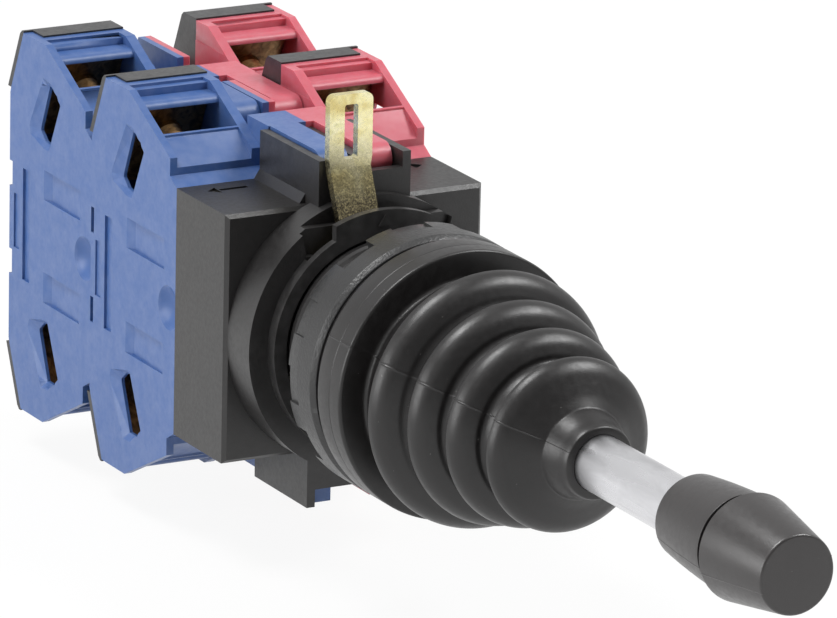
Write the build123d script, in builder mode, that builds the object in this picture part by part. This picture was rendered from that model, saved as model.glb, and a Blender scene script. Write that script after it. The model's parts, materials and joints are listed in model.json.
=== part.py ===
from build123d import *
from math import atan2, cos, degrees, radians, sin
import os

# Frame: the origin is the centre of the panel seat, the lever points along -Y, +Z is the TOP mark.
# All sizes are millimetres.

# Panel fitting
thread_radius = 11.0
thread_pitch = 1.5
thread_depth = 0.35
flange_radius = 12.55
flange_thick = 0.9
key_radius = 14.0
key_half_width = 5.6
ring_radius = 14.35
ring_rear = -6.5
ring_front = -11.8
ring_notch_angles = (31.5, 121.5, 211.5, 301.5)
ring_notch_width = 4.0
ring_notch_depth = 2.0

# Operator sleeve and its tail
sleeve_front = -17.0
bore_radius = 9.4
tail_radius = 10.4
tail_groove_radius = 9.85
tail_end = 5.2
web_front = 3.0

# Boot
retainer_front = -15.5
retainer_radius = 14.3
retainer_neck_radius = 13.7
retainer_neck = 1.0
boot_base_front = -17.6
boot_wall = 0.9
boot_first_valley = 11.0
boot_ribs = ((-22.5, 13.55), (-27.5, 11.8), (-33.0, 10.4), (-38.9, 9.1))
rib_height = 2.5
leaf_round = 2.7
boot_tip = -45.2
boot_tip_radius = 3.75

# Lever, pivot and rocker
pivot = -8.0
rod_radius = 2.93
rod_shoulder = -11.2
rod_end = -81.0
spigot_radius = 1.5
spigot_end = -0.3
hub_radius = 3.1
gimbal_inner = 3.9
gimbal_outer = 5.6
gimbal_half_width = 1.4
pin_radius = 0.9
running = 0.05
clear = 0.3
arm_front = -4.5
arm_rear = -2.8
arm_reach = 7.9
arm_width = 3.6
nut_flats = 5.5
nut_thick = 2.3
centering_wire = 0.35
centering_pitch = 1.55
centering_radius = 4.45

# Knob
knob_rear = -64.2
knob_rear_radius = 4.35
knob_back_radius = 5.1
knob_bulge = 0.08
knob_step = -74.6
knob_step_radius = 5.55
knob_end = -83.8
knob_end_radius = 4.05
knob_edge = 0.3

# Push rods
push_circle = 7.0
push_radius = 1.3
push_head = arm_rear + clear
travel = push_circle * radians(15.0)
leg_offset_x = 3.2
leg_offset_z = 4.5

# Housing, flush with the sides of the contact blocks
block_width = 15.0
half_width = block_width
half_height = 13.4
housing_front = 6.4
housing_rear = 17.8
housing_wall = 2.0
boss_radius = 14.7
boss_front = 1.5
front_wall = 3.0
bayonet_slot = 2.25
channel_half_width = 5.35
channel_wall = 0.95
channel_inner = channel_half_width - channel_wall
channel_front = 4.5
channel_top = 18.6
channel_front_top = 16.9
channel_floor = 14.9
divider_half_width = 0.7
lower_channel_front = 5.9
lower_channel_end = 19.3
lower_channel_front_end = 17.4

# Bayonet lever, in front of the upper channel
bayonet_thick = 1.0
bayonet_outer = 11.6
bayonet_inner = 10.75
bayonet_lug_inner = 10.15
bayonet_face = 1.1
bayonet_window_rear = 3.3
arm_left = -4.9
arm_right = 0.1
arm_top = 25.8
arm_setback = 2.1
arm_bend_low = 13.2
arm_bend_high = 18.0
arm_slot_middle = 21.8
arm_slot_width = 1.55
arm_slot_length = 5.8
arm_corner = 0.8

# Contact blocks
block_pitch = 20.0
front_row = housing_rear
rear_row = housing_rear + block_pitch
side_wall = 0.85
chamber_wall = 1.6
chamber_height = 9.5
foot_recess = 5.4
chamber_front = 7.0
chamber_rear = 18.5
shoulder_height = 14.3
shoulder_depth = 1.6
tower_front_top = 16.2
tower_top = 21.1
tower_top_front = 11.4
tower_top_rear = 16.85
tower_foot_rear = 19.8
tower_foot_height = 14.4
tower_inner = 5.5
slope_wall = 1.35
saddle_height = 18.9
tongue_root = 4.8
wire_front = 4.7
bar_front = 9.2
bar_rear = 12.0
bar_top = 20.05
bar_thick = 1.3
ledge_rear = 13.05
ledge_top = 20.8
window_depth = 0.5
ramp_depth = 0.4
cover_thick = 0.7
cover_front = 14.2
cover_top = 21.3
cover_inset = 1.1
cover_inner = 4.4
cheek_thick = 0.5
cheek_low = 15.6
tongue_outer = 4.2
tongue_inner = 0.9
tongue_low = 15.6
tongue_reach = 11.4
tongue_play = 0.15
slot_front = 8.4
lower_tongue_inner = 2.3
lower_tongue_low = 17.5
lower_tongue_end = 19.0
terminal_x = -(block_width - side_wall + tower_inner) / 2

# Contacts inside a block
plunger_x = -8.0
plunger_size = 5.0
plunger_front = 3.45
plunger_rear = 14.0
window_front = 9.1
window_rear = 12.2
foot_thick = 1.5
plate_front = 12.6
bridge_front = 9.2
bridge_thick = 1.0
bridge_half_width = 1.5
bridge_half_length = 7.5
button_radius = 1.2
button_thick = 0.5
button_z = 6.2
strip_thick = 0.8
strip_turn = 10.4
strip_play = 0.2
screw_radius = 1.75
screw_head_radius = 2.75
screw_head_thick = 2.0
screw_depth = 2.0
screw_length = 7.5
screw_pitch = 0.6
washer_size = 5.8
washer_thick = 1.0
spring_wire = 0.28
spring_radius = 1.9

strip_outer = screw_depth + screw_head_thick + washer_thick
strip_inner = strip_outer + strip_thick

slant = Vector(0, tower_foot_rear - tower_top_rear, tower_foot_height - tower_top).normalized()
screw_in = Vector(0, slant.Z, -slant.Y)
screw_face = Vector(terminal_x, (tower_top_rear + tower_foot_rear) / 2, (tower_top + tower_foot_height) / 2)

os.makedirs("parts", exist_ok=True)


def save(builder, name):
    """Label a finished piece and write it."""
    builder.part.label = name
    export_step(builder.part, f"parts/{name}.step")


def station(y):
    """Plane across the axis at y, drawn as seen from the front: x to the right, z up."""
    return Plane.XZ.offset(-y)


def turned(profile, mode=Mode.ADD):
    """Turn a profile of (radius, y) points about the axis."""
    with BuildSketch(Plane.XY) as section:
        with BuildLine():
            Polyline(*profile, close=True)
        make_face()
    revolve(section.sketch, axis=Axis.Y, mode=mode)


def slab(x0, x1, y0, y1, z0, z1, mode=Mode.ADD):
    """Rectangular block between two corners."""
    with BuildSketch(station(y0)) as section:
        with Locations(((x0 + x1) / 2, (z0 + z1) / 2)):
            Rectangle(abs(x1 - x0), abs(z1 - z0))
    extrude(section.sketch, amount=-(y1 - y0), mode=mode)


def side_slab(profile, x0, x1, mode=Mode.ADD):
    """Side outline of (y, z) points, carried from x0 to x1."""
    with BuildSketch(Plane.YZ.offset(x0)) as section:
        with BuildLine():
            Polyline(*profile, close=True)
        make_face()
    extrude(section.sketch, amount=x1 - x0, mode=mode)


def drum(x, z, y0, y1, radius, mode=Mode.ADD):
    """Round bar or hole along the lever axis."""
    with BuildSketch(station(y0)) as section:
        with Locations((x, z)):
            Circle(radius)
    extrude(section.sketch, amount=-(y1 - y0), mode=mode)


def on_screw(distance):
    """Plane across the terminal screw at a distance inwards from the sloping face."""
    return Plane(origin=screw_face + screw_in * distance, x_dir=(1, 0, 0), z_dir=screw_in)


def on_slope(distance, height):
    """Point (y, z) at a height on the plane at a distance inwards from the sloping face."""
    foot = screw_face + screw_in * distance
    return (foot.Y + slant.Y / slant.Z * (height - foot.Z), height)


# Housing
with BuildPart() as housing:
    slab(-half_width, half_width, housing_front, housing_rear, -half_height, half_height)
    chamfer(housing.faces().sort_by(Axis.Y)[0].edges(), 0.4)
    drum(0, 0, boss_front, housing_front, boss_radius)
    # Upper channel for the tongues of the contact blocks, lower in front
    slab(-channel_half_width, channel_half_width, channel_front, housing_rear, 10.0, channel_top)
    for side in (-1, 1):
        slab(side * divider_half_width, side * channel_inner, channel_front + 1.0, housing_rear,
             channel_floor, channel_top, Mode.SUBTRACT)
        # Ramp at the foot of the channel wall
        with BuildSketch(station(7.5)):
            with BuildLine():
                Polyline((side * 6.0, half_height), (side * channel_half_width, half_height + 1.0),
                         (side * channel_half_width, half_height - 0.5), (side * 6.0, half_height - 0.5),
                         close=True)
            make_face()
        extrude(amount=-(housing_rear - 7.5))
    slab(-channel_inner, channel_inner, channel_front - 0.1, channel_front + 1.0,
         channel_front_top, channel_top, Mode.SUBTRACT)
    slab(-divider_half_width, divider_half_width, channel_front + 1.0, housing_rear,
         channel_top - 0.3, channel_top, Mode.SUBTRACT)
    # Lower channel
    slab(-channel_half_width, channel_half_width, lower_channel_front, housing_rear,
         -lower_channel_end, -half_height + 0.5)
    slab(-channel_inner, channel_inner, lower_channel_front - 0.1, housing_rear + 0.1,
         -lower_channel_end - 0.1, -lower_channel_front_end, Mode.SUBTRACT)
    for side in (-1, 1):
        slab(side * 1.0, side * channel_inner, lower_channel_front + 1.0, housing_rear + 0.1,
             -lower_channel_end, -half_height - 1.3, Mode.SUBTRACT)
    # Space for the push rods, open towards the blocks, and the socket of the sleeve
    room = half_width - housing_wall
    slab(-room, room, housing_front + front_wall, housing_rear + 0.1,
         -half_height + housing_wall, half_height - housing_wall, Mode.SUBTRACT)
    drum(0, 0, boss_front - 0.1, tail_end + 0.2, tail_radius + 0.2, Mode.SUBTRACT)
    drum(0, 0, boss_front - 0.1, bayonet_slot, bayonet_outer + clear, Mode.SUBTRACT)
    for angle in (0, 90, 180, 270):
        drum(push_circle * cos(radians(angle)), push_circle * sin(radians(angle)),
             tail_end, housing_front + front_wall + 0.1, push_radius + clear, Mode.SUBTRACT)
    # Window through which the bayonet lever swings
    with BuildSketch(station(boss_front - 0.1)):
        with BuildLine():
            Polyline((-8.2, 9.5), (-9.6, 16.0), (9.6, 16.0), (8.2, 9.5), close=True)
        make_face()
    extrude(amount=-(bayonet_slot - boss_front + 0.1), mode=Mode.SUBTRACT)
    # Deeper room behind the window for the slanted foot of the arm
    with BuildSketch(station(boss_front - 0.1)):
        with BuildLine():
            Polyline((-8.85, 12.3), (-9.6, 16.0), (9.6, 16.0), (8.85, 12.3), close=True)
        make_face()
    extrude(amount=-(bayonet_window_rear - boss_front + 0.1), mode=Mode.SUBTRACT)
    # Unlock and lock arrows, sunk into the top
    for side in (-1, 1):
        with BuildSketch(Plane.XY.offset(half_height)):
            with Locations((side * 9.6, 15.4)):
                Rectangle(3.2, 0.6)
            with Locations((side * 11.8, 15.4)):
                Triangle(a=2.0, b=1.6, c=1.6, rotation=-90 * side)
        extrude(amount=-0.25, mode=Mode.SUBTRACT)
save(housing, "housing")

# Flange that carries the TOP key
with BuildPart() as key_flange:
    with BuildSketch(station(0)):
        Circle(flange_radius)
        with Locations((0, key_radius / 2)):
            Rectangle(2 * key_half_width, key_radius, mode=Mode.ADD)
        Circle(key_radius, mode=Mode.INTERSECT)
        Circle(tail_radius + 0.75, mode=Mode.SUBTRACT)
    extrude(amount=-flange_thick)
    # Raised arrow head that marks the top
    with BuildSketch(station(0)):
        with Locations((0, 12.75)):
            Triangle(a=1.6, b=1.4, c=1.4)
    extrude(amount=0.25)
    # Skirt down to the boss, outside the bayonet ring, open where the lever swings
    with BuildSketch(station(flange_thick)):
        Circle(flange_radius)
        Circle(bayonet_outer + clear, mode=Mode.SUBTRACT)
        with BuildLine():
            Polyline((-8.2, 8.0), (-9.6, 16.0), (9.6, 16.0), (8.2, 8.0), close=True)
        make_face(mode=Mode.SUBTRACT)
    extrude(amount=-(boss_front - flange_thick))
save(key_flange, "key_flange")

# Threaded sleeve
with BuildPart() as operator_sleeve:
    turned([(bore_radius, sleeve_front), (thread_radius, sleeve_front), (thread_radius, -0.3),
            (tail_radius, 0.3), (tail_radius, tail_end), (0, tail_end), (0, web_front),
            (bore_radius, web_front)])
    # Thread in the stretch that the locking ring leaves open
    groove = ring_rear + thread_pitch / 2
    while groove < -thread_pitch / 2:
        turned([(thread_radius + 0.1, groove - 0.45), (thread_radius - thread_depth, groove),
                (thread_radius + 0.1, groove + 0.45)], Mode.SUBTRACT)
        groove += thread_pitch
    turned([(tail_groove_radius, flange_thick), (tail_radius + 0.1, flange_thick),
            (tail_radius + 0.1, bayonet_slot), (tail_groove_radius, bayonet_slot)], Mode.SUBTRACT)
    for angle in (0, 90, 180, 270):
        drum(push_circle * cos(radians(angle)), push_circle * sin(radians(angle)),
             web_front - 0.1, tail_end + 0.1, push_radius + running, Mode.SUBTRACT)
    with BuildSketch(Plane.YZ.offset(-thread_radius - 1)):
        with Locations((pivot, 0)):
            Circle(pin_radius)
    extrude(amount=2 * thread_radius + 2, mode=Mode.SUBTRACT)
save(operator_sleeve, "operator_sleeve")

# Locking ring with spanner notches in its rear edge
with BuildPart() as locking_ring:
    turned([(thread_radius + running, ring_front), (ring_radius - 0.2, ring_front),
            (ring_radius, ring_front + 0.2), (ring_radius, ring_rear - 0.3),
            (ring_radius - 0.3, ring_rear), (thread_radius + running, ring_rear)])
    for angle in ring_notch_angles:
        with BuildSketch(station(ring_rear + 0.1)):
            with Locations((12.8 * cos(radians(angle)), 12.8 * sin(radians(angle)))):
                Rectangle(4.6, ring_notch_width, rotation=angle)
        extrude(amount=ring_notch_depth + 0.1, mode=Mode.SUBTRACT)
save(locking_ring, "locking_ring")

# Ring that holds the base of the boot on the sleeve
with BuildPart() as boot_retainer:
    neck = ring_front - retainer_neck
    turned([(thread_radius, ring_front), (retainer_neck_radius, ring_front), (retainer_neck_radius, neck),
            (retainer_radius, neck), (retainer_radius, retainer_front + 0.2),
            (retainer_radius - 0.2, retainer_front), (thread_radius, retainer_front)])
save(boot_retainer, "boot_retainer")

# Rubber boot: a bellows of four leaves that shingle towards the panel
with BuildPart() as boot:
    with BuildSketch(Plane.XY):
        with BuildLine():
            valley = (boot_first_valley, boot_base_front - 1.6)
            Polyline((thread_radius, retainer_front), (retainer_radius, retainer_front),
                     (retainer_radius, boot_base_front),
                     (boot_first_valley + 0.4, boot_base_front - 0.2), valley)
            for rim, radius in boot_ribs:
                # Rear face of the leaf, its lip, and the rounded front
                Polyline(valley, (radius - rib_height, rim + 0.9), (radius - 0.25, rim + 0.3),
                         (radius, rim))
                valley = (radius - leaf_round, rim - leaf_round)
                middle = leaf_round * sin(radians(45.0))
                ThreePointArc((radius, rim), (valley[0] + middle, rim - middle), valley)
            # Neck that grips the rod, then the inside: a smooth cone under the valleys
            inside = [(radius - rib_height - boot_wall, rim + 0.9) for rim, radius in boot_ribs[::-1]]
            Polyline(valley, (boot_tip_radius + 1.9, boot_tip + 2.6),
                     (boot_tip_radius + 0.7, boot_tip + 1.2), (boot_tip_radius, boot_tip),
                     (rod_radius + running, boot_tip), (rod_radius + running, boot_tip + 1.6), *inside,
                     (boot_first_valley - boot_wall, boot_base_front - 1.6),
                     (thread_radius - 0.5, boot_base_front), (thread_radius, boot_base_front),
                     (thread_radius, retainer_front))
        make_face()
    revolve(axis=Axis.Y)
save(boot, "boot")

# Lever rod with the spigot that holds the rocker
with BuildPart() as lever_rod:
    turned([(0, rod_end), (rod_radius - 0.4, rod_end), (rod_radius, rod_end + 0.4),
            (rod_radius, rod_shoulder), (spigot_radius, rod_shoulder), (spigot_radius, spigot_end + 0.3),
            (spigot_radius - 0.3, spigot_end), (0, spigot_end)])
save(lever_rod, "lever_rod")

# Knob: tapered back, a sharp step outwards, and a longer front that tapers to a flat end
with BuildPart() as knob:
    with BuildSketch(Plane.XY) as knob_section:
        with BuildLine():
            SagittaArc((knob_rear_radius, knob_rear), (knob_back_radius, knob_step), -knob_bulge)
            Polyline((knob_back_radius, knob_step), (knob_step_radius, knob_step),
                     (knob_end_radius, knob_end), (0, knob_end), (0, rod_end), (rod_radius, rod_end),
                     (rod_radius, knob_rear), (knob_rear_radius, knob_rear))
        make_face()
        corners = knob_section.vertices().group_by(Axis.Y)
        fillet(corners[0].sort_by(Axis.X)[-1], knob_edge)
        fillet(knob_section.vertices().sort_by(Axis.X)[-1], knob_edge / 2)
        fillet(knob_section.vertices().group_by(Axis.Y)[-1].sort_by(Axis.X)[-1], knob_edge / 2)
    revolve(axis=Axis.Y)
save(knob, "knob")

# Rocker: hub between the pivot pins with four arms behind them
with BuildPart() as rocker:
    turned([(spigot_radius, rod_shoulder), (hub_radius - 0.3, rod_shoulder),
            (hub_radius, rod_shoulder + 0.3), (hub_radius, arm_front - 0.4), (hub_radius + 0.4, arm_front),
            (hub_radius + 0.4, arm_rear), (spigot_radius, arm_rear)])
    with BuildSketch(station(arm_front)):
        for angle in (0, 90):
            SlotOverall(2 * arm_reach, arm_width, rotation=angle)
        Circle(spigot_radius, mode=Mode.SUBTRACT)
    extrude(amount=-(arm_rear - arm_front))
    with BuildSketch(Plane.XY.offset(-hub_radius - 1)):
        with Locations((0, pivot)):
            Circle(pin_radius + running)
    extrude(amount=2 * hub_radius + 2, mode=Mode.SUBTRACT)
    drum(0, 0, rod_shoulder - 0.1, arm_rear + 0.1, spigot_radius, Mode.SUBTRACT)
save(rocker, "rocker")

with BuildPart() as rocker_nut:
    with BuildSketch(station(arm_rear)):
        RegularPolygon(nut_flats / 2, 6, major_radius=False)
        Circle(spigot_radius, mode=Mode.SUBTRACT)
    extrude(amount=-nut_thick)
save(rocker_nut, "rocker_nut")

# Gimbal ring between the two pairs of pins
with BuildPart() as gimbal_ring:
    ring_low = pivot - gimbal_half_width
    ring_high = pivot + gimbal_half_width
    turned([(gimbal_inner, ring_low), (gimbal_outer - 0.3, ring_low), (gimbal_outer, ring_low + 0.3),
            (gimbal_outer, ring_high - 0.3), (gimbal_outer - 0.3, ring_high), (gimbal_inner, ring_high)])
    with BuildSketch(Plane.YZ.offset(-gimbal_outer - 1)):
        with Locations((pivot, 0)):
            Circle(pin_radius + running)
    extrude(amount=2 * gimbal_outer + 2, mode=Mode.SUBTRACT)
    with BuildSketch(Plane.XY.offset(-gimbal_outer - 1)):
        with Locations((0, pivot)):
            Circle(pin_radius)
    extrude(amount=2 * gimbal_outer + 2, mode=Mode.SUBTRACT)
save(gimbal_ring, "gimbal_ring")

# Pins: the cross pins sit in the sleeve, the upright pins in the gimbal ring
with BuildPart() as cross_pins:
    for side in (-1, 1):
        start = gimbal_inner + 0.1
        with BuildSketch(Plane.YZ.offset(side * start)):
            with Locations((pivot, 0)):
                Circle(pin_radius)
        extrude(amount=side * (thread_radius - 0.6 - start))
save(cross_pins, "cross_pins")

with BuildPart() as upright_pins:
    for side in (-1, 1):
        start = spigot_radius + clear
        with BuildSketch(Plane.XY.offset(side * start)):
            with Locations((0, pivot)):
                Circle(pin_radius)
        extrude(amount=side * (gimbal_outer - 0.15 - start))
save(upright_pins, "upright_pins")

# Conical spring that stands on the web of the sleeve and centres the lever
with BuildPart() as centering_spring:
    room = web_front - arm_rear - 2 * centering_wire - 2 * running
    with BuildLine():
        path = Helix(pitch=centering_pitch, height=room, radius=centering_radius, cone_angle=-2,
                     center=(0, web_front - centering_wire - running, 0), direction=(0, -1, 0))
    with BuildSketch(Plane(origin=path @ 0, z_dir=path % 0)):
        Circle(centering_wire)
    sweep(path=path)
save(centering_spring, "centering_spring")

# Bayonet lever: a ring between flange and boss, with an arm that stands up in front of the channel
with BuildPart() as bayonet_lever:
    arm_middle = (arm_left + arm_right) / 2
    foot_left = arm_left + 0.15
    foot_right = arm_right - 0.15
    with BuildSketch(station(bayonet_face)):
        Circle(bayonet_outer)
        Circle(bayonet_inner, mode=Mode.SUBTRACT)
        with BuildLine():
            Polyline((arm_left + 0.4, bayonet_inner + 0.1), (foot_left, arm_bend_low),
                     (foot_right, arm_bend_low), (arm_right - 0.4, bayonet_inner + 0.4), close=True)
        make_face()
    extrude(amount=-bayonet_thick)
    with BuildSketch(station(bayonet_face)):
        for angle in (25, 205):
            with Locations(Location((0, 0, 0), angle)):
                with Locations(((bayonet_inner + bayonet_lug_inner) / 2, 0)):
                    Rectangle(bayonet_inner - bayonet_lug_inner + 0.5, 3.0)
    extrude(amount=-bayonet_thick)
    arm_face = bayonet_face + arm_setback
    arm_back = arm_face + bayonet_thick
    side_slab([(bayonet_face, arm_bend_low), (bayonet_face + bayonet_thick, arm_bend_low),
               (arm_back, arm_bend_high - 0.4), (arm_back, arm_bend_high + 0.2),
               (arm_face, arm_bend_high + 0.2), (arm_face, arm_bend_high)], foot_left, foot_right)
    with BuildSketch(station(arm_face)):
        with BuildLine():
            Polyline((foot_left, arm_bend_high), (arm_left, arm_bend_high + 1), (arm_left, arm_top),
                     (arm_right, arm_top), (arm_right, arm_bend_high + 1), (foot_right, arm_bend_high),
                     close=True)
        make_face()
        fillet(vertices().group_by(Axis.Y)[-1], arm_corner)
        with Locations((arm_middle, arm_slot_middle)):
            RectangleRounded(arm_slot_width, arm_slot_length, 0.3, mode=Mode.SUBTRACT)
    extrude(amount=-bayonet_thick)
save(bayonet_lever, "bayonet_lever")

# One contact block casing, left hand, with its front face on the plane y = 0.
# The upper half is drawn and mirrored, then the features that differ are added.
with BuildPart() as casing:
    side_slab([(0, 0), (0, half_height), (shoulder_depth, shoulder_height),
               (shoulder_depth, tower_front_top), (tower_top_front, tower_top), (tower_top_rear, tower_top),
               (tower_foot_rear, tower_foot_height), (block_pitch, tower_foot_height - 0.6),
               (block_pitch, 0)], -block_width, 0)
    # Saddle between the towers, with the root of the tongue in front
    slab(-cover_inner, 1.0, -0.1, block_pitch + 0.1, saddle_height, tower_top + 1.0, Mode.SUBTRACT)
    slab(-cover_inner, 0, 0, tongue_root, half_height - 0.5, saddle_height)
    # Trough between the tower walls: front slope, wire opening, cross bar with its ledge
    trough_left = -block_width + side_wall
    open_top = tower_top + 1.0
    side_slab([(0, 15.1), (shoulder_depth, 15.1), (wire_front, 17.5), (wire_front, open_top),
               (0, open_top)], trough_left, -tower_inner, Mode.SUBTRACT)
    bar_low = bar_top - bar_thick
    end_top = on_slope(slope_wall, tower_top - 1.5)
    end_low = on_slope(slope_wall, tower_foot_height - 0.7)
    floor = tower_foot_height - 2.3
    with BuildSketch(Plane.YZ.offset(trough_left)):
        with BuildLine():
            ThreePointArc((bar_front, bar_top - 0.75), (bar_front + 0.25, bar_top - 0.2),
                          (bar_front + 0.9, bar_top))
            Polyline((bar_front + 0.9, bar_top), (bar_rear, bar_top), (bar_rear, ledge_top),
                     (ledge_rear, ledge_top), (ledge_rear, open_top), (wire_front, open_top),
                     (wire_front + 0.5, 12.6), (8.8, chamber_height + 0.7), (12.8, chamber_height + 0.7),
                     (14.6, floor), end_low, end_top, (bar_rear + 2.0, end_top[1]),
                     (bar_rear + 1.0, bar_low), (bar_front, bar_low), (bar_front, bar_top - 0.75))
        make_face()
    extrude(amount=-tower_inner - trough_left, mode=Mode.SUBTRACT)
    # Way for the contact strip between the tower and the contact chamber
    way_rear = on_slope(strip_outer, strip_turn - strip_thick / 2)[0] + clear
    slab(trough_left, -tower_inner, chamber_front + 1.0, way_rear, chamber_height - 0.1, floor + 0.9,
         Mode.SUBTRACT)
    # Contact chamber
    slab(-block_width + chamber_wall, -chamber_wall, chamber_front, chamber_rear,
         -0.1, chamber_height, Mode.SUBTRACT)
    # Screwdriver way through the sloping end
    with BuildSketch(on_screw(-0.5)):
        Circle(screw_head_radius + 0.35)
    extrude(amount=4.0, mode=Mode.SUBTRACT)
    # Seats of the cover: on the top, and in the inner wall for its cheek
    slab(-block_width + cover_inset, -cover_inner, cover_front, tower_top_rear + 1.0,
         cover_top - cover_thick, tower_top + 0.1, Mode.SUBTRACT)
    side_slab([(cover_front, cheek_low), on_slope(-0.1, cheek_low), on_slope(-0.1, tower_top + 0.1),
               (cover_front, tower_top + 0.1)], -cover_inner - cheek_thick, -cover_inner + 0.1,
              Mode.SUBTRACT)
    # Window in the outer side: three sloping faces run down to a through slot along its front edge
    rim = ((14.3, 11.6), (12.4, 16.6), (10.2, 17.2), (7.8, 15.3), (10.1, 10.7), (10.4, 9.6))
    bed = ((12.6, 12.4), (10.6, 16.4), (9.6, 16.8), (7.8, 15.3), (10.1, 10.7), (10.9, 11.0))
    for outline, depth in ((rim, 0), (bed, window_depth)):
        with BuildSketch(Plane.YZ.offset(-block_width + depth)):
            with BuildLine():
                Polyline(*outline, close=True)
            make_face()
    loft(ruled=True, mode=Mode.SUBTRACT)
    side_slab([(9.5, 16.5), (8.5, 16.15), (7.9, 15.1), (10.15, 10.9), (11.6, 11.6), (11.6, 12.1)],
              -block_width - 0.1, -block_width + side_wall + 0.1, Mode.SUBTRACT)
    mirror(about=Plane.XY)
    # Way of the plunger, ways of the long push rods, and the recess in front for their feet
    slab(plunger_x - plunger_size / 2 - running, plunger_x + plunger_size / 2 + running,
         foot_recess - 0.1, chamber_front + 0.1, -plunger_size / 2 - running, plunger_size / 2 + running,
         Mode.SUBTRACT)
    for level in (-1, 1):
        drum(-leg_offset_x, level * leg_offset_z, -0.1, block_pitch + 0.1, push_radius + clear,
             Mode.SUBTRACT)
    slab(-10.8, -1.3, -0.1, foot_recess, -6.5, 6.5, Mode.SUBTRACT)
    # Two ramps and the nail notch in the outer side
    for low, high in ((3.9, 7.2), (-7.6, -4.2)):
        with BuildSketch(Plane.XY.offset(low)):
            with BuildLine():
                Polyline((-block_width, 2.7), (-block_width + ramp_depth / 2, 2.7),
                         (-block_width + ramp_depth, 10.2), (-block_width, 11.5), close=True)
            make_face()
        extrude(amount=high - low, mode=Mode.SUBTRACT)
    with Locations((-block_width - 2.68, 1.5, 0)):
        Sphere(3.6, mode=Mode.SUBTRACT)
    # Sunken strip, framed tab and the two catches at the rear edge
    for y0, y1, low, high, depth in ((15.0, 16.7, -6.4, 6.1, 0.3), (17.6, 18.9, -3.3, 2.8, 0.2),
                                     (19.3, 20.1, 3.4, 6.2, 1.0), (19.3, 20.1, -6.5, -3.7, 1.0)):
        slab(-block_width, -block_width + depth, y0, y1, low, high, Mode.SUBTRACT)
    # Tongues that lock into the housing or into the block in front
    with BuildSketch(Plane.YZ.offset(-tongue_outer)):
        with BuildLine():
            nose = (saddle_height - tongue_low) / 2
            Polyline((0.1, saddle_height), (nose - tongue_reach, saddle_height))
            ThreePointArc((nose - tongue_reach, saddle_height), (-tongue_reach, saddle_height - nose),
                          (nose - tongue_reach, tongue_low))
            Polyline((nose - tongue_reach, tongue_low), (0.1, tongue_low), (0.1, saddle_height))
        make_face()
    extrude(amount=tongue_outer - tongue_inner)
    slab(-tongue_outer, -lower_tongue_inner, -tongue_reach, 0.1, -lower_tongue_end, -lower_tongue_low)
    slab(-tongue_outer, -lower_tongue_inner, 0, 3.0, -lower_tongue_end, -half_height + 0.5)
    # Slots that take the tongues of the block behind: open on top, and a gap as far as the root
    slab(-tongue_outer - tongue_play, -tongue_inner + tongue_play, slot_front - 0.1, block_pitch + 0.1,
         tongue_low - tongue_play, saddle_height + 0.1, Mode.SUBTRACT)
    slab(-tongue_outer - tongue_play, 0.1, tongue_root, slot_front, tongue_low - tongue_play,
         saddle_height + 0.1, Mode.SUBTRACT)
    slab(-tongue_outer - tongue_play, -lower_tongue_inner + tongue_play, slot_front, block_pitch + 0.1,
         -lower_tongue_end - 0.2, -lower_tongue_low + tongue_play, Mode.SUBTRACT)

# Cover of a tower: plate over the sloping end, top plate let into the casing, and inner cheek
with BuildPart() as cover:
    side_slab([on_slope(0, tower_foot_height), (tower_top_rear, tower_top), (tower_top_rear, cover_top),
               (tower_top_rear + 0.4, cover_top), on_slope(-cover_thick, cover_top - 0.4),
               on_slope(-cover_thick, tower_foot_height)], -block_width, -cover_inner)
    slab(-block_width + cover_inset, -cover_inner, cover_front, tower_top_rear + 0.1,
         cover_top - cover_thick, cover_top)
    side_slab([(cover_front, cheek_low), on_slope(0, cheek_low), on_slope(0, tower_top),
               (tower_top_rear, cover_top), (cover_front, cover_top)],
              -cover_inner - cheek_thick, -cover_inner)
    with BuildSketch(on_screw(-2)):
        Circle(screw_head_radius + 0.35)
    extrude(amount=4.0, mode=Mode.SUBTRACT)


def placed(piece, column, row, upside_down=False):
    """A left-hand piece moved to its row, mirrored for the right column and for the lower half."""
    moved = piece
    if upside_down:
        moved = mirror(moved, about=Plane.XY, mode=Mode.PRIVATE)
    if column == "right":
        moved = mirror(moved, about=Plane.YZ, mode=Mode.PRIVATE)
    return Pos(0, row, 0) * moved


rows = (("front", front_row), ("rear", rear_row))
columns = ("left", "right")

for row_name, row in rows:
    for column in columns:
        with BuildPart() as block:
            add(placed(casing.part, column, row))
        save(block, f"{row_name}_{column}_casing")
        for level, upside_down in (("upper", False), ("lower", True)):
            with BuildPart() as cap:
                add(placed(cover.part, column, row, upside_down))
            save(cap, f"{row_name}_{column}_{level}_cover")

# Short push rods for left and right: a domed head behind the rocker and a straight stem
for column, side in (("left", -1), ("right", 1)):
    with BuildPart() as push_rod:
        turned([(0, push_head), (push_radius * 0.75, push_head + 0.35), (push_radius, push_head + 1.0),
                (push_radius, front_row + plunger_front), (0, front_row + plunger_front)])
    with BuildPart() as stem:
        with Locations((side * push_circle, 0, 0)):
            add(push_rod.part)
    save(stem, f"{column}_push_rod")

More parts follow.
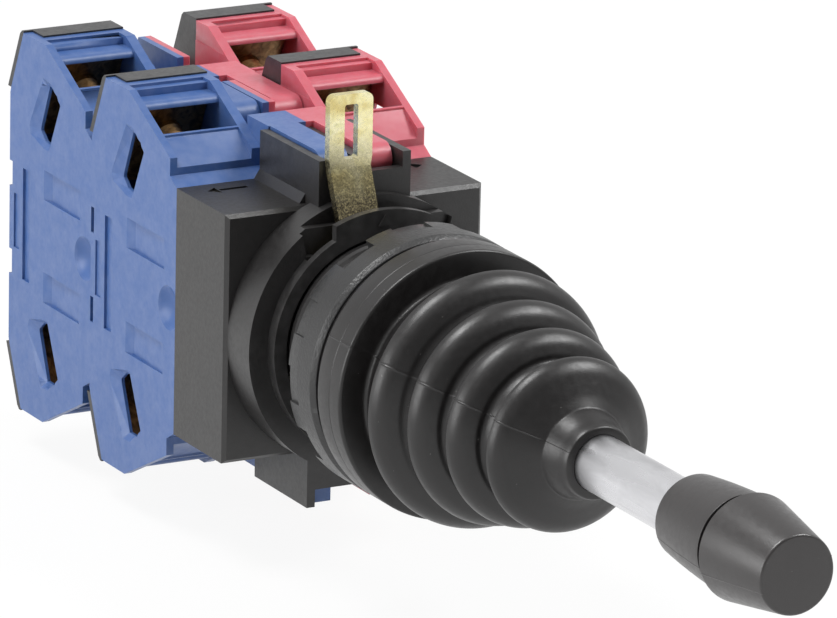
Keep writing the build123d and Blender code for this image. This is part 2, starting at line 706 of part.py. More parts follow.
# Long push rods for up and down: stem, cross plate in the housing, leg through the front block, foot
with BuildPart() as long_rod:
    turned([(0, push_head), (push_radius * 0.75, push_head + 0.35), (push_radius, push_head + 1.0),
            (push_radius, plate_front + 0.5), (0, plate_front + 0.5)])
    foot_front = rear_row + plunger_front - foot_thick
    leg_x = -leg_offset_x
    leg_z = leg_offset_z - push_circle
    drum(leg_x, leg_z, plate_front, foot_front + 0.5, push_radius)
    for y, start, end in ((plate_front, (0, 0), (leg_x, leg_z)),
                          (foot_front, (leg_x, leg_z), (plunger_x, -push_circle))):
        run = Vector(end[0] - start[0], end[1] - start[1])
        with BuildSketch(station(y)):
            with Locations(((start[0] + end[0]) / 2, (start[1] + end[1]) / 2)):
                SlotCenterToCenter(run.length, 2 * push_radius + 0.4,
                                   rotation=degrees(atan2(run.Y, run.X)))
        extrude(amount=-foot_thick)
for name, turn in (("up", 0), ("down", 180)):
    with BuildPart() as rod:
        add(Rot(0, turn, 0) * Pos(0, 0, push_circle) * long_rod.part)
    save(rod, f"{name}_push_rod")

# Plunger with a window for the bridge
with BuildPart() as plunger:
    half = plunger_size / 2
    slab(plunger_x - half, plunger_x + half, plunger_front, plunger_rear, -half, half)
    chamfer(plunger.faces().sort_by(Axis.Y)[0].edges(), 0.4)
    slab(plunger_x - bridge_half_width - 0.2, plunger_x + bridge_half_width + 0.2,
         window_front, window_rear, -half - 0.1, half + 0.1, Mode.SUBTRACT)

# Moving bridges: butt contacts for the left blocks, wiping ends for the right blocks
with BuildPart() as closing_bridge:
    slab(plunger_x - bridge_half_width, plunger_x + bridge_half_width,
         bridge_front, bridge_front + bridge_thick, -bridge_half_length, bridge_half_length)
    for level in (-1, 1):
        drum(plunger_x, level * button_z, bridge_front + bridge_thick,
             bridge_front + bridge_thick + button_thick, button_radius)

with BuildPart() as opening_bridge:
    slab(plunger_x - bridge_half_width, plunger_x + bridge_half_width,
         bridge_front, bridge_front + bridge_thick, -bridge_half_length, bridge_half_length)
    chamfer(opening_bridge.edges().filter_by(Axis.X), 0.25)

# Bowed leaf spring that presses the bridge against the front of its window
with BuildPart() as leaf_spring:
    with BuildSketch(Plane.YZ.offset(plunger_x - bridge_half_width + 0.2)):
        with BuildLine():
            ThreePointArc((window_rear - 0.15, -2.2), (bridge_front + bridge_thick + 0.15, 0),
                          (window_rear - 0.15, 2.2))
        trace(line_width=0.25)
    extrude(amount=2 * bridge_half_width - 0.4)

# Return spring between the plunger and the rear wall of the chamber
with BuildPart() as return_spring:
    with BuildLine():
        coil = Helix(pitch=1.1, height=chamber_rear - plunger_rear - 2 * spring_wire - 0.04,
                     radius=spring_radius, center=(plunger_x, plunger_rear + spring_wire + 0.02, 0),
                     direction=(0, 1, 0))
    with BuildSketch(Plane(origin=coil @ 0, z_dir=coil % 0)):
        Circle(spring_wire)
    sweep(path=coil)


def contact_strips(contact_y, contact_z):
    """Upper and lower terminal strip with their ends at the given place in the chamber."""
    with BuildPart() as strips:
        # Wide plate under the washer, parallel to the sloping end of the block
        turn_low = strip_turn - strip_thick / 2
        strip_top = tower_top - 2.5
        side_slab([on_slope(strip_outer, strip_top), on_slope(strip_outer, turn_low),
                   on_slope(strip_inner, turn_low), on_slope(strip_inner, strip_top)],
                  -block_width + side_wall + strip_play, -tower_inner - strip_play)
        # Narrow run into the chamber, turned towards the bridge
        with BuildSketch(Plane.YZ.offset(plunger_x - bridge_half_width)):
            with BuildLine():
                Polyline((contact_y, contact_z), (contact_y, strip_turn),
                         on_slope((strip_outer + strip_inner) / 2, strip_turn))
            trace(line_width=strip_thick)
        extrude(amount=2 * bridge_half_width)
        with BuildSketch(on_screw(strip_outer - 0.5)):
            Circle(screw_radius + running)
        extrude(amount=strip_thick + 1.0, mode=Mode.SUBTRACT)
        if contact_z < button_z:
            button_face = contact_y - strip_thick / 2 - button_thick
            drum(plunger_x, button_z, button_face, contact_y, button_radius)
        mirror(about=Plane.XY)
    return strips.part


contact_gap = travel + 0.12
closing_y = bridge_front + bridge_thick + 2 * button_thick + contact_gap + strip_thick / 2
opening_y = bridge_front + bridge_thick / 2
contact_sets = {"left": (closing_bridge, contact_strips(closing_y, 4.9)),
                "right": (opening_bridge, contact_strips(opening_y, bridge_half_length + 0.05))}

for row_name, row in rows:
    for column in columns:
        bridge, strips = contact_sets[column]
        pieces = (("plunger", plunger.part), ("bridge", bridge.part), ("leaf_spring", leaf_spring.part),
                  ("return_spring", return_spring.part), ("contact_strips", strips))
        for name, piece in pieces:
            with BuildPart() as item:
                add(placed(piece, column, row))
            save(item, f"{row_name}_{column}_{name}")

# Terminal screw with its thread, and the square washer under its head
with BuildPart() as terminal_screw:
    with BuildSketch(Plane(origin=screw_face, x_dir=(1, 0, 0), z_dir=Vector(1, 0, 0).cross(screw_in))):
        neck = screw_depth + screw_head_thick
        tip = neck + screw_length
        thread = []
        crest = neck + washer_thick + strip_thick + 0.6
        while crest + screw_pitch < tip - 0.4:
            thread += [(screw_radius, crest), (screw_radius - 0.3, crest + screw_pitch / 2)]
            crest += screw_pitch
        with BuildLine():
            Polyline((0, screw_depth), (screw_head_radius - 0.4, screw_depth),
                     (screw_head_radius, screw_depth + 0.4), (screw_head_radius, neck),
                     (screw_radius, neck), *thread, (screw_radius, crest),
                     (screw_radius, tip - 0.4), (screw_radius - 0.4, tip), (0, tip), close=True)
        make_face()
    revolve(axis=Axis(screw_face, screw_in))
    with BuildSketch(on_screw(screw_depth)):
        for turn in (0, 90):
            Rectangle(3.6, 0.8, rotation=turn)
    extrude(amount=1.1, mode=Mode.SUBTRACT)

with BuildPart() as terminal_washer:
    with BuildSketch(on_screw(screw_depth + screw_head_thick)):
        RectangleRounded(washer_size, washer_size, 0.6)
        Circle(screw_radius + running, mode=Mode.SUBTRACT)
    extrude(amount=washer_thick)

for piece, name in ((terminal_screw.part, "terminal_screws"), (terminal_washer.part, "terminal_washers")):
    with BuildPart() as fasteners:
        for row_name, row in rows:
            for column in columns:
                for upside_down in (False, True):
                    add(placed(piece, column, row, upside_down))
    save(fasteners, name)
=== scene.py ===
"""Panel joystick switch: the surfaces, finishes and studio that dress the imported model."""

import json
import logging
import math
from dataclasses import dataclass, field
from enum import Enum

import bmesh
import bpy
from mathutils import Matrix, Vector

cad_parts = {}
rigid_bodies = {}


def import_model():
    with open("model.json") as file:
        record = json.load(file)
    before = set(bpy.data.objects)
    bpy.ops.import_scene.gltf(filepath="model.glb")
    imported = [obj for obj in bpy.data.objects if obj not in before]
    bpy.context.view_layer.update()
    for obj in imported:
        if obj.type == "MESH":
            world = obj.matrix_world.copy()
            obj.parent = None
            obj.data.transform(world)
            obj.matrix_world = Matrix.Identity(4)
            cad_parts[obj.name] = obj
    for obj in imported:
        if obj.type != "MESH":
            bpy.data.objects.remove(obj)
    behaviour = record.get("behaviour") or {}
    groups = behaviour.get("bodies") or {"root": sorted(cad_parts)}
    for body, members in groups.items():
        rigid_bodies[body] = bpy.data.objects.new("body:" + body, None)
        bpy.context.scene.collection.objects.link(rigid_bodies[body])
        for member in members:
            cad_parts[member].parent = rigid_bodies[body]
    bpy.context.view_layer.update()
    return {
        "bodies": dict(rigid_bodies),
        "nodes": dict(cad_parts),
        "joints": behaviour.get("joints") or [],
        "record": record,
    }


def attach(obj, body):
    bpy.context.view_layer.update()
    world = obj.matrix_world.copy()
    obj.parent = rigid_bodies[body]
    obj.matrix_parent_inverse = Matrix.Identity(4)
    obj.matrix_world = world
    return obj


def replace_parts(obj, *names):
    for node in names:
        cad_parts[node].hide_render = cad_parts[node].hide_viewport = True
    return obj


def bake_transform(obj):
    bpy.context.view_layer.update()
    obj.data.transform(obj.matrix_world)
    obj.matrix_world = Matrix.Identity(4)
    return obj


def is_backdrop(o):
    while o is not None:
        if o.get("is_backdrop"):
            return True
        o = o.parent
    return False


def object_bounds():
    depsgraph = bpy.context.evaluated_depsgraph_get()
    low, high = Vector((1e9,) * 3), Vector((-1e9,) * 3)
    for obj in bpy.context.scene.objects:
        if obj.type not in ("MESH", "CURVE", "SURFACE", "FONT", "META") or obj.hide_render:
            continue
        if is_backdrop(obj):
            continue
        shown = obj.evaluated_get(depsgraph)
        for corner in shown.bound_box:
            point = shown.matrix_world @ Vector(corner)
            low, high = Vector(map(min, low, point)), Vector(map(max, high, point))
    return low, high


log = logging.getLogger("joystick")

MM = 0.001
SMOOTH_DEG = 32.0
JOIN_MM = 0.0002
SEAM_DEG = 156.3
SEAM_HALF_DEG = 0.4
AXIS_MM = 1e-6
NOISE_RANGE = (0.3, 0.7)

Colour = tuple[float, float, float]
Outline = list[tuple[float, float]]
Corners = tuple[tuple[float, float], ...]


class Column(Enum):
    """Side of the stack that a contact block stands on, seen from the front."""

    LEFT = "left"
    RIGHT = "right"


class Row(Enum):
    """Row of contact blocks, counted from the housing."""

    FRONT = "front"
    REAR = "rear"


class Grain(Enum):
    """Surface texture of a moulded piece: (size in mm, height in mm)."""

    POLISHED = (0.9, 0.004)
    FINE = (0.22, 0.012)
    STIPPLED = (0.3, 0.05)

    @property
    def size(self) -> float:
        """Size of one grain in mm."""
        return self.value[0]

    @property
    def height(self) -> float:
        """Height of the grain in mm."""
        return self.value[1]


class NodeSheet:
    """A material's node tree, with short calls for the nodes that the finishes share."""

    def __init__(self, name: str) -> None:
        """Start an empty material of that name with one principled shader.

        Args:
            name: the material's name.
        """
        self.material = bpy.data.materials.new(name)
        self.material.use_nodes = True
        self.tree = self.material.node_tree
        self.shader = self.tree.nodes["Principled BSDF"]
        self.place = self.tree.nodes.new("ShaderNodeTexCoord")

    def set(self, **values: object) -> None:
        """Set plain sockets of the shader.

        Args:
            values: socket names, with underscores for spaces, and their values.
        """
        for name, value in values.items():
            self.shader.inputs[name.replace("_", " ")].default_value = value

    def noise(self, size_mm: float, detail: float = 3.0, stretch: Colour = (1.0, 1.0, 1.0),
              distortion: float = 0.0) -> bpy.types.NodeSocket:
        """Noise in object space.

        Args:
            size_mm: size of one blotch in millimetres.
            detail: octaves of finer noise.
            stretch: scale of each axis, below one for a long blotch.
            distortion: how far the blotches are pushed about.

        Returns:
            The noise value, from about 0.3 to 0.7.
        """
        mapping = self.tree.nodes.new("ShaderNodeMapping")
        mapping.inputs["Scale"].default_value = stretch
        texture = self.tree.nodes.new("ShaderNodeTexNoise")
        texture.inputs["Scale"].default_value = 1.0 / (size_mm * MM)
        texture.inputs["Detail"].default_value = detail
        texture.inputs["Distortion"].default_value = distortion
        self.tree.links.new(self.place.outputs["Object"], mapping.inputs["Vector"])
        self.tree.links.new(mapping.outputs["Vector"], texture.inputs["Vector"])
        return texture.outputs["Fac"]

    def scaled(self, value: bpy.types.NodeSocket, bottom: float, top: float, low: float = 0.0,
               high: float = 1.0) -> bpy.types.NodeSocket:
        """Carry a value over from one range to another.

        Args:
            value: the value.
            bottom: value that gives the low result.
            top: value that gives the high result.
            low: the low result.
            high: the high result.

        Returns:
            The carried value.
        """
        node = self.tree.nodes.new("ShaderNodeMapRange")
        for name, number in (("From Min", bottom), ("From Max", top), ("To Min", low), ("To Max", high)):
            node.inputs[name].default_value = number
        self.tree.links.new(value, node.inputs["Value"])
        return node.outputs["Result"]

    def height(self, low_mm: float, high_mm: float) -> bpy.types.NodeSocket:
        """Height in object space.

        Args:
            low_mm: z that gives 0.
            high_mm: z that gives 1.

        Returns:
            The height, from 0 to 1.
        """
        parts = self.tree.nodes.new("ShaderNodeSeparateXYZ")
        self.tree.links.new(self.place.outputs["Object"], parts.inputs["Vector"])
        return self.scaled(parts.outputs["Z"], low_mm * MM, high_mm * MM)

    def ramp(self, value: bpy.types.NodeSocket, stops: list[tuple[float, Colour]]) -> bpy.types.NodeSocket:
        """Colours along a value.

        Args:
            value: the driving value.
            stops: positions and their colours.

        Returns:
            The colour.
        """
        node = self.tree.nodes.new("ShaderNodeValToRGB")
        while len(node.color_ramp.elements) < len(stops):
            node.color_ramp.elements.new(0.5)
        for element, (position, colour) in zip(node.color_ramp.elements, stops):
            element.position = position
            element.color = (*colour, 1.0)
        self.tree.links.new(value, node.inputs["Fac"])
        return node.outputs["Color"]

    def spread(self, value: bpy.types.NodeSocket, low: float, high: float) -> bpy.types.NodeSocket:
        """Carry noise over to a range.

        Args:
            value: noise from about 0.3 to 0.7.
            low: result at the low end.
            high: result at the high end.

        Returns:
            The carried value.
        """
        return self.scaled(value, *NOISE_RANGE, low, high)

    def blend(self, share: bpy.types.NodeSocket, one: bpy.types.NodeSocket,
              two: bpy.types.NodeSocket) -> bpy.types.NodeSocket:
        """Mix two colours.

        Args:
            share: how much of the second colour shows.
            one: first colour.
            two: second colour.

        Returns:
            The mixed colour.
        """
        node = self.tree.nodes.new("ShaderNodeMix")
        node.data_type = "RGBA"
        self.tree.links.new(share, node.inputs["Factor"])
        self.tree.links.new(one, node.inputs["A"])
        self.tree.links.new(two, node.inputs["B"])
        return node.outputs["Result"]

    def edge(self, low: float, high: float) -> bpy.types.NodeSocket:
        """How much a point stands out as an edge.

        Args:
            low: pointiness at which the edge begins.
            high: pointiness at which it is full.

        Returns:
            A share from 0 on the flat to 1 on the edge.
        """
        geometry = self.tree.nodes.new("ShaderNodeNewGeometry")
        return self.scaled(geometry.outputs["Pointiness"], low, high)

    def bump(self, layers: list[tuple[bpy.types.NodeSocket, float]]) -> None:
        """Raise the surface by one or more heights.

        Args:
            layers: height sockets and their full height in millimetres.
        """
        normal = None
        for value, height_mm in layers:
            node = self.tree.nodes.new("ShaderNodeBump")
            node.inputs["Distance"].default_value = height_mm * MM
            self.tree.links.new(value, node.inputs["Height"])
            if normal:
                self.tree.links.new(normal, node.inputs["Normal"])
            normal = node.outputs["Normal"]
        self.tree.links.new(normal, self.shader.inputs["Normal"])

    def feed(self, socket: str, value: bpy.types.NodeSocket) -> None:
        """Link a value to a socket of the shader.

        Args:
            socket: name of the shader's socket.
            value: what feeds it.
        """
        self.tree.links.new(value, self.shader.inputs[socket])


@dataclass(frozen=True)
class MouldedPlastic:
    """Injection moulded plastic with faint flow marks and a fine grain."""

    name: str
    colour: Colour
    gloss: float
    grain: Grain
    variation: float = 0.06
    sheen: float = 0.5
    glow: float = 0.0
    rub: float = 0.12

    def material(self) -> bpy.types.Material:
        """Make the material.

        Returns:
            The finished material.
        """
        sheet = NodeSheet(self.name)
        low = tuple(c * (1.0 - self.variation) for c in self.colour)
        high = tuple(min(1.0, c * (1.0 + self.variation)) for c in self.colour)
        rubbed = tuple(c + (1.0 - c) * self.rub * 0.3 for c in self.colour)
        flow = sheet.noise(9.0, 3.0, distortion=0.3)
        body = sheet.ramp(flow, [(0.3, low), (0.7, high)])
        rim = sheet.ramp(sheet.noise(1.3), [(0.3, self.colour), (0.7, rubbed)])
        sheet.feed("Base Color", sheet.blend(sheet.edge(0.56, 0.7), body, rim))
        sheet.feed("Roughness", sheet.spread(sheet.noise(0.5, 4.0), self.gloss - 0.05, self.gloss + 0.05))
        sheet.bump([(sheet.noise(5.0, 2.0), 0.012), (sheet.noise(self.grain.size, 2.0), self.grain.height)])
        sheet.set(IOR=1.49, Specular_IOR_Level=self.sheen)
        if self.glow:
            sheet.set(Subsurface_Weight=self.glow, Subsurface_Scale=1.0 * MM)
            sheet.shader.inputs["Subsurface Radius"].default_value = (1.0, 0.35, 0.35)
        return sheet.material


@dataclass(frozen=True)
class MouldedRubber:
    """Black rubber with a satin skin, a faint bloom and a speck of dust here and there."""

    name: str
    colour: Colour
    gloss: float
    bloom: Colour = (0.02, 0.019, 0.019)
    sheen: float = 0.4

    def material(self) -> bpy.types.Material:
        """Make the material.

        Returns:
            The finished material.
        """
        sheet = NodeSheet(self.name)
        skin = sheet.ramp(sheet.noise(8.0, 3.0, distortion=0.3), [(0.32, self.colour), (0.72, self.bloom)])
        dust = sheet.ramp(sheet.noise(0.4, 1.0), [(0.79, (0.0, 0.0, 0.0)), (0.82, (1.0, 1.0, 1.0))])
        speck = sheet.ramp(sheet.noise(3.0), [(0.0, (0.07, 0.07, 0.07)), (1.0, (0.1, 0.095, 0.09))])
        sheet.feed("Base Color", sheet.blend(dust, skin, speck))
        sheet.feed("Roughness", sheet.spread(sheet.noise(0.6, 4.0), self.gloss - 0.05, self.gloss + 0.06))
        sheet.bump([(sheet.noise(1.2, 3.0), 0.008), (sheet.noise(0.14, 2.0), 0.008)])
        sheet.set(IOR=1.5, Specular_IOR_Level=self.sheen)
        return sheet.material


@dataclass(frozen=True)
class DrawnSteel:
    """Bright steel with fine lines along the lever axis."""

    name: str
    colour: Colour
    gloss: float
    line_mm: float = 0.12

    def material(self) -> bpy.types.Material:
        """Make the material.

        Returns:
            The finished material.
        """
        sheet = NodeSheet(self.name)
        shade = tuple(c * 0.78 for c in self.colour)
        lines = sheet.noise(self.line_mm, 4.0, stretch=(1.0, 0.03, 1.0))
        cloud = sheet.noise(1.6, 5.0, stretch=(1.0, 0.25, 1.0), distortion=0.5)
        sheet.feed("Base Color", sheet.ramp(cloud, [(0.3, shade), (0.55, self.colour)]))
        sheet.feed("Roughness", sheet.spread(cloud, self.gloss + 0.1, self.gloss - 0.04))
        sheet.bump([(lines, 0.004), (sheet.noise(0.6, 3.0), 0.003)])
        sheet.set(Metallic=1.0)
        return sheet.material


@dataclass(frozen=True)
class YellowZinc:
    """Yellow passivated zinc on stamped steel: pale gold, darkening towards the ring to a grainy brown that is partly
    painted shade and partly a duller tone of its own.
    """

    name: str
    gloss: float

    def material(self) -> bpy.types.Material:
        """Make the material.

        Returns:
            The finished material.
        """
        sheet = NodeSheet(self.name)
        clouds = sheet.noise(3.4, 3.0, distortion=0.4)
        tint = sheet.ramp(clouds, [(0.34, (0.72, 0.6, 0.26)), (0.46, (0.92, 0.84, 0.46)),
                                   (0.58, (0.96, 0.9, 0.58)), (0.68, (0.8, 0.76, 0.4))])
        # Blended by height: painted light keeps the top pale gold, and painted shade turns the lower part a grainy dark
        # brown that is partly the zinc's own duller tone.
        shaded_grainy_brown = sheet.ramp(sheet.noise(0.16, 3.0), [(0.42, (0.09, 0.075, 0.055)), (0.62, (0.42, 0.36, 0.2))])
        sheet.feed("Base Color", sheet.blend(sheet.height(14.5, 22.0), shaded_grainy_brown, tint))
        sheet.feed("Roughness", sheet.spread(sheet.noise(0.4, 3.0), self.gloss - 0.08, self.gloss + 0.08))
        sheet.bump([(sheet.noise(0.25, 3.0), 0.003), (sheet.noise(3.0), 0.008)])
        sheet.set(Metallic=1.0)
        return sheet.material


@dataclass(frozen=True)
class PlatedMetal:
    """Plated or stamped small metal piece, a little stained."""

    name: str
    colour: Colour
    stain: Colour
    gloss: float

    def material(self) -> bpy.types.Material:
        """Make the material.

        Returns:
            The finished material.
        """
        sheet = NodeSheet(self.name)
        patches = sheet.noise(0.9, 5.0, distortion=0.8)
        sheet.feed("Base Color", sheet.ramp(patches, [(0.36, self.stain), (0.6, self.colour)]))
        sheet.feed("Roughness", sheet.spread(sheet.noise(0.4, 4.0), self.gloss - 0.05, self.gloss + 0.15))
        sheet.bump([(sheet.noise(0.2, 3.0), 0.004)])
        sheet.set(Metallic=1.0)
        return sheet.material


class FinishBook:
    """Every finish of the switch, made once and handed out by slot name."""

    def __init__(self) -> None:
        """Make all materials."""
        finishes = {
            "black_housing": MouldedPlastic("black moulded housing", (0.01, 0.0092, 0.0092), 0.42, Grain.FINE,
                                            variation=0.12, sheen=0.7),
            "ring_plastic": MouldedPlastic("stippled ring plastic", (0.013, 0.013, 0.0134), 0.38, Grain.STIPPLED,
                                           variation=0.12, sheen=0.65),
            "boot_rubber": MouldedRubber("boot rubber", (0.007, 0.0061, 0.0061), 0.36, (0.01, 0.009, 0.009),
                                         sheen=0.55),
            "knob_rubber": MouldedRubber("knob rubber", (0.018, 0.0155, 0.0155), 0.34, (0.024, 0.021, 0.021),
                                         sheen=0.75),
            "rod_steel": DrawnSteel("drawn rod steel", (0.72, 0.72, 0.74), 0.27),
            "rocker_steel": DrawnSteel("rocker steel", (0.6, 0.6, 0.62), 0.35),
            "pin_steel": DrawnSteel("ground pin steel", (0.66, 0.66, 0.68), 0.22),
            "spring_steel": DrawnSteel("spring wire", (0.5, 0.5, 0.52), 0.3),
            "yellow_zinc": YellowZinc("yellow zinc", 0.26),
            "blue_plastic": MouldedPlastic("blue block plastic", (0.036, 0.097, 0.285), 0.38, Grain.POLISHED,
                                           variation=0.05, sheen=0.6),
            "red_plastic": MouldedPlastic("red block plastic", (0.5, 0.09, 0.125), 0.36, Grain.POLISHED,
                                          variation=0.05, sheen=0.6, glow=0.45),
            "cover_plastic": MouldedPlastic("black cover plastic", (0.014, 0.014, 0.015), 0.36, Grain.FINE,
                                            variation=0.08, sheen=0.5),
            "push_rod_plastic": MouldedPlastic("natural push rod plastic", (0.72, 0.7, 0.64), 0.4, Grain.POLISHED),
            "plunger_plastic": MouldedPlastic("natural plunger plastic", (0.76, 0.74, 0.68), 0.4, Grain.POLISHED),
            # The contact brass is darkened to a dark bronze, partly as painted shade for the wire openings the strips
            # sit in.
            "contact_brass": PlatedMetal("stamped contact brass", (0.3, 0.2, 0.1), (0.13, 0.09, 0.05), 0.38),
            "screw_steel": PlatedMetal("bronze coloured screw", (0.5, 0.3, 0.13), (0.26, 0.15, 0.07), 0.34),
        }
        self.materials = {slot: finish.material() for slot, finish in finishes.items()}

    def dress(self, piece: bpy.types.Object, slot: str) -> None:
        """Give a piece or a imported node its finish.

        Args:
            piece: what is dressed.
            slot: the record's material slot.
        """
        piece.data.materials.clear()
        piece.data.materials.append(self.materials[slot])


class Workshop:
    """What every sub-assembly needs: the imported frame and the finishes."""

    def __init__(self, frame: dict, finishes: FinishBook) -> None:
        """Keep the frame and the finishes.

        Args:
            finishes: the finishes.
        """
        self.nodes: dict[str, bpy.types.Object] = frame["nodes"]
        self.finishes = finishes

    def dress_node(self, name: str, slot: str, edge_mm: float = 0.0, angle: float = SMOOTH_DEG) -> None:
        """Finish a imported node, break its sharp edges and shade its curves smoothly.

        Args:
            name: the node.
            slot: its material slot.
            edge_mm: width of the broken edge, or 0 for none.
            angle: edges flatter than this, in degrees, are shaded smoothly.
        """
        self.finish_edges(self.nodes[name], slot, edge_mm, angle)

    def copy_node(self, name: str, slot: str) -> bpy.types.Object:
        """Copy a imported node's surface into a piece that stands for it.

        Args:
            name: name of the node.
            slot: its material slot.

        Returns:
            The piece, which rides on nothing yet.
        """
        form = bmesh.new()
        form.from_mesh(self.nodes[name].data)
        bmesh.ops.remove_doubles(form, verts=form.verts, dist=JOIN_MM * MM)
        mesh = bpy.data.meshes.new(f"{name}_surface")
        form.to_mesh(mesh)
        form.free()
        piece = bpy.data.objects.new(mesh.name, mesh)
        bpy.context.scene.collection.objects.link(piece)
        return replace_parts(piece, name)

    def finish_edges(self, piece: bpy.types.Object, slot: str, edge_mm: float = 0.0, angle: float = SMOOTH_DEG) -> None:
        """Finish a piece, break its sharp edges and shade its curves smoothly.

        Args:
            piece: the piece or node.
            slot: its material slot.
            edge_mm: width of the broken edge, or 0 for none.
            angle: edges flatter than this, in degrees, are shaded smoothly.
        """
        self.finishes.dress(piece, slot)
        piece.data.shade_smooth()
        piece.data.set_sharp_from_angle(angle=math.radians(angle))
        if edge_mm:
            bevel = piece.modifiers.new("broken edges", "BEVEL")
            bevel.width = edge_mm * MM
            bevel.segments = 2
            bevel.limit_method = "ANGLE"
            bevel.angle_limit = math.radians(angle)
            bevel.harden_normals = True
            bevel.use_clamp_overlap = True

    def new_piece(self, name: str, form: bmesh.types.BMesh, slot: str, angle: float = SMOOTH_DEG) -> bpy.types.Object:
        """Turn a form into a finished object.

        Args:
            name: name of the piece.
            form: the form, which is freed.
            slot: its material slot.
            angle: edges flatter than this, in degrees, are shaded smoothly.

        Returns:
            The linked object.
        """
        bmesh.ops.recalc_face_normals(form, faces=form.faces)
        mesh = bpy.data.meshes.new(name)
        form.to_mesh(mesh)
        form.free()
        mesh.shade_smooth()
        mesh.set_sharp_from_angle(angle=math.radians(angle))
        piece = bpy.data.objects.new(name, mesh)
        bpy.context.scene.collection.objects.link(piece)
        self.finishes.dress(piece, slot)
        return piece


def rounded(outline: Outline, rounds: dict[int, float], steps: int = 4) -> Outline:
    """Round named corners of a closed outline.

    Args:
        outline: corners as (radius, y) in mm.
        rounds: index of a corner and its radius in mm.
        steps: points in each arc.

    Returns:
        The outline with arcs in place of those corners.
    """
    result: Outline = []
    for index, corner in enumerate(outline):
        if index not in rounds:
            result.append(corner)
            continue
        here = Vector(corner)
        back = (Vector(outline[index - 1]) - here).normalized()
        ahead = (Vector(outline[(index + 1) % len(outline)]) - here).normalized()
        half = back.angle(ahead) / 2.0
        reach = rounds[index] / math.tan(half)
        start, end = here + back * reach, here + ahead * reach
        for step in range(steps + 1):
            share = step / steps
            point = start.lerp(here, share).lerp(here.lerp(end, share), share)
            result.append((point.x, point.y))
    return result


def curve_through(points: Outline, steps: int) -> Outline:
    """Smooth curve through points.

    Args:
        points: points as (radius, y) in mm.
        steps: parts in each stretch.

    Returns:
        Points along the curve, first and last included.
    """
    ends = [points[0], *points, points[-1]]
    result: Outline = []
    for before, here, there, after in zip(ends, ends[1:], ends[2:], ends[3:]):
        for step in range(steps):
            t = step / steps
            result.append(tuple(
                0.5 * (2 * h + (n - b) * t + (2 * b - 5 * h + 4 * n - a) * t * t + (3 * h - b - 3 * n + a) * t ** 3)
                for b, h, n, a in zip(before, here, there, after)))
    result.append(points[-1])
    return result


def turn_outline(outline: Outline, segments: int, seam_deg: float = 0.0,
                 seam_height: float = 0.0) -> bmesh.types.BMesh:
    """Turn a closed outline about the lever axis.

    Args:
        outline: corners as (radius, y) in mm; a radius of 0 lies on the axis.
        segments: parts of the full turn.
        seam_deg: angle of the first column, from +X towards +Z.
        seam_height: how far the mould line at that column and its opposite stands out, in mm.

    Returns:
        The closed form.
    """
    form = bmesh.new()
    rings: list[list[bmesh.types.BMVert]] = []
    columns: list[tuple[float, float]] = []
    for column in range(segments):
        angle = seam_deg + 360.0 * column / segments
        if seam_height and column in (0, segments // 2):
            columns += [(angle - SEAM_HALF_DEG, 0.0), (angle, seam_height), (angle + SEAM_HALF_DEG, 0.0)]
        else:
            columns.append((angle, 0.0))
    for radius, y in outline:
        if radius < AXIS_MM:
            rings.append([form.verts.new((0.0, y * MM, 0.0))])
            continue
        ring = []
        for angle, height in columns:
            turn = math.radians(angle)
            reach = (radius + height) * MM
            ring.append(form.verts.new((reach * math.cos(turn), y * MM, reach * math.sin(turn))))
        rings.append(ring)
    for one, two in zip(rings, rings[1:] + rings[:1]):
        if len(one) == 1 and len(two) == 1:
            continue
        for column in range(len(columns)):
            after = (column + 1) % len(columns)
            corners = [one[column % len(one)], one[after % len(one)], two[after % len(two)], two[column % len(two)]]
            unique = list(dict.fromkeys(corners))
            if len(unique) > 2:
                form.faces.new(unique)
    return form


def turn_sections(sections: list[Outline], angles: list[float]) -> bmesh.types.BMesh:
    """Join closed sections that stand at angles round the lever axis.

    Args:
        sections: one outline as (radius, y) in mm for each angle, all with the same number of corners.
        angles: angles from +X towards +Z, in degrees, rising.

    Returns:
        The closed form.
    """
    form = bmesh.new()
    columns = []
    for outline, angle in zip(sections, angles):
        along = Vector((math.cos(math.radians(angle)), 0.0, math.sin(math.radians(angle))))
        columns.append([form.verts.new(along * radius * MM + Vector((0.0, y * MM, 0.0))) for radius, y in outline])
    for one, two in zip(columns, columns[1:] + columns[:1]):
        for index, corner in enumerate(one):
            before = index - 1
            form.faces.new((one[before], corner, two[index], two[before]))
    return form


